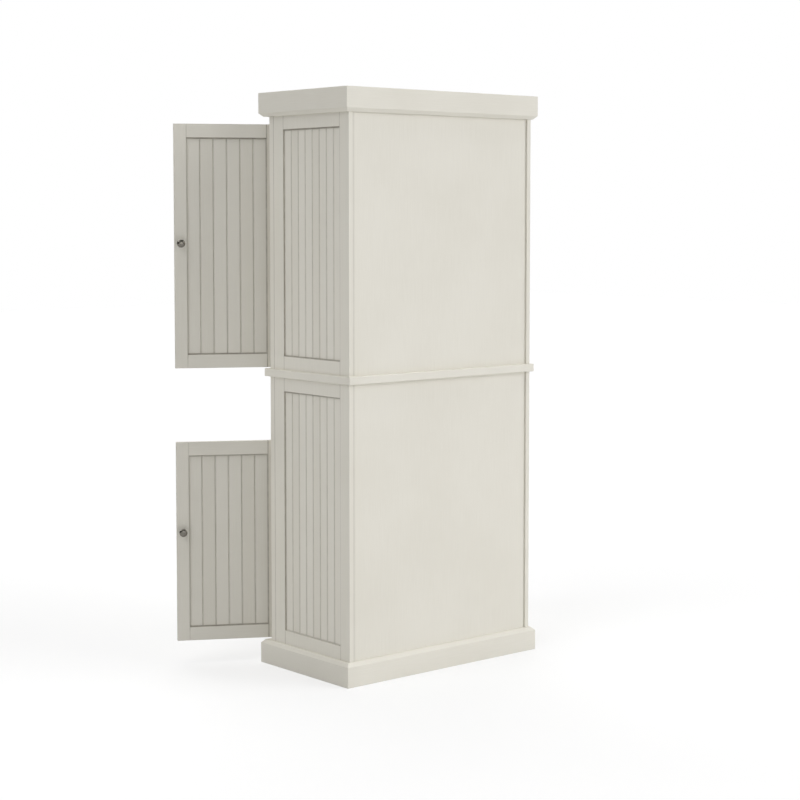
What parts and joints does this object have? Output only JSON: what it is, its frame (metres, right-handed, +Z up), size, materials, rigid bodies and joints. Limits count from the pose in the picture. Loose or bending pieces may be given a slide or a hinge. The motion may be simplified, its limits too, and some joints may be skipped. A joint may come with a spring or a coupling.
{
  "type": "pantry cabinet",
  "caption": "Tall free-standing pantry cabinet with beadboard sides and hinged doors, a drawer and adjustable shelves, painted antique white.",
  "frame": {"origin": "on the floor, at the middle of the plinth's footprint", "axes": "+X towards the cabinet's right side as seen from in front of it, +Y towards the back, +Z up"},
  "size_m": [1.2604, 0.6079, 1.829],
  "materials": {
    "painted_wood": "satin antique white paint with a darker glaze in the joints",
    "beadboard": "satin antique white paint with a darker glaze in the grooves",
    "back_board": "smooth antique white paint",
    "inside_paint": "smooth antique white paint",
    "bare_wood": "clear lacquered pale wood",
    "aged_metal": "dark aged bronze, rubbed brighter on the crown",
    "steel": "satin nickel plating",
    "catch_plastic": "moulded plastic"
  },
  "bodies": {
    "cabinet": {"plinth_front": "painted_wood", "plinth_back": "painted_wood", "plinth_sides": "painted_wood", "plinth_bracing": "bare_wood", "cap_front": "painted_wood", "cap_back": "painted_wood", "cap_sides": "painted_wood", "cap_top_panel": "painted_wood", "middle_ledge": "painted_wood", "lower_floor": "inside_paint", "upper_floor": "inside_paint", "upper_ceiling": "inside_paint", "upper_back_panel": "back_board", "lower_back_panel": "back_board", "upper_face_frame_stiles": "painted_wood", "upper_face_frame_rail": "painted_wood", "lower_face_frame_stiles": "painted_wood", "lower_face_frame_rails": "painted_wood", "upper_shelves": "inside_paint", "lower_shelf": "inside_paint", "shelf_pins": "steel", "frame_hinge_leaves": "steel", "magnetic_catches": "catch_plastic", "stacking_bolts": "steel", "drawer_packers": "bare_wood", "drawer_runners": "steel", "right_upper_side_frame": "painted_wood", "right_upper_side_panel": "beadboard", "right_lower_side_frame": "painted_wood", "right_lower_side_panel": "beadboard", "left_upper_side_frame": "painted_wood", "left_upper_side_panel": "beadboard", "left_lower_side_frame": "painted_wood", "left_lower_side_panel": "beadboard"},
    "right_upper_door": {"right_upper_door_stiles": "painted_wood", "right_upper_door_rails": "painted_wood", "right_upper_door_panel": "beadboard", "right_upper_door_knob": "aged_metal", "right_upper_door_fittings": "steel"},
    "right_lower_door": {"right_lower_door_stiles": "painted_wood", "right_lower_door_rails": "painted_wood", "right_lower_door_panel": "beadboard", "right_lower_door_knob": "aged_metal", "right_lower_door_fittings": "steel"},
    "left_upper_door": {"left_upper_door_stiles": "painted_wood", "left_upper_door_rails": "painted_wood", "left_upper_door_panel": "beadboard", "left_upper_door_knob": "aged_metal", "left_upper_door_fittings": "steel"},
    "left_lower_door": {"left_lower_door_stiles": "painted_wood", "left_lower_door_rails": "painted_wood", "left_lower_door_panel": "beadboard", "left_lower_door_knob": "aged_metal", "left_lower_door_fittings": "steel"},
    "drawer": {"drawer_front": "painted_wood", "drawer_sides": "bare_wood", "drawer_ends": "bare_wood", "drawer_bottom": "bare_wood", "drawer_knobs": "aged_metal", "drawer_slides": "steel"}
  },
  "joints": [
    {"name": "right_upper_door_hinge", "type": "hinge", "parent": "cabinet", "child": "right_upper_door", "pos_m": [0.3375, -0.1955, 1.3435], "axis": [0, 0, 1], "range_deg": [-150, 25]},
    {"name": "right_lower_door_hinge", "type": "hinge", "parent": "cabinet", "child": "right_lower_door", "pos_m": [0.3375, -0.1955, 0.398], "axis": [0, 0, 1], "range_deg": [-150, 25]},
    {"name": "left_upper_door_hinge", "type": "hinge", "parent": "cabinet", "child": "left_upper_door", "pos_m": [-0.3375, -0.1955, 1.3435], "axis": [0, 0, -1], "range_deg": [-150, 25]},
    {"name": "left_lower_door_hinge", "type": "hinge", "parent": "cabinet", "child": "left_lower_door", "pos_m": [-0.3375, -0.1955, 0.398], "axis": [0, 0, -1], "range_deg": [-150, 25]},
    {"name": "drawer_slide", "type": "slide", "parent": "cabinet", "child": "drawer", "axis": [0, -1, 0], "range_m": [0, 0.25]}
  ]
}
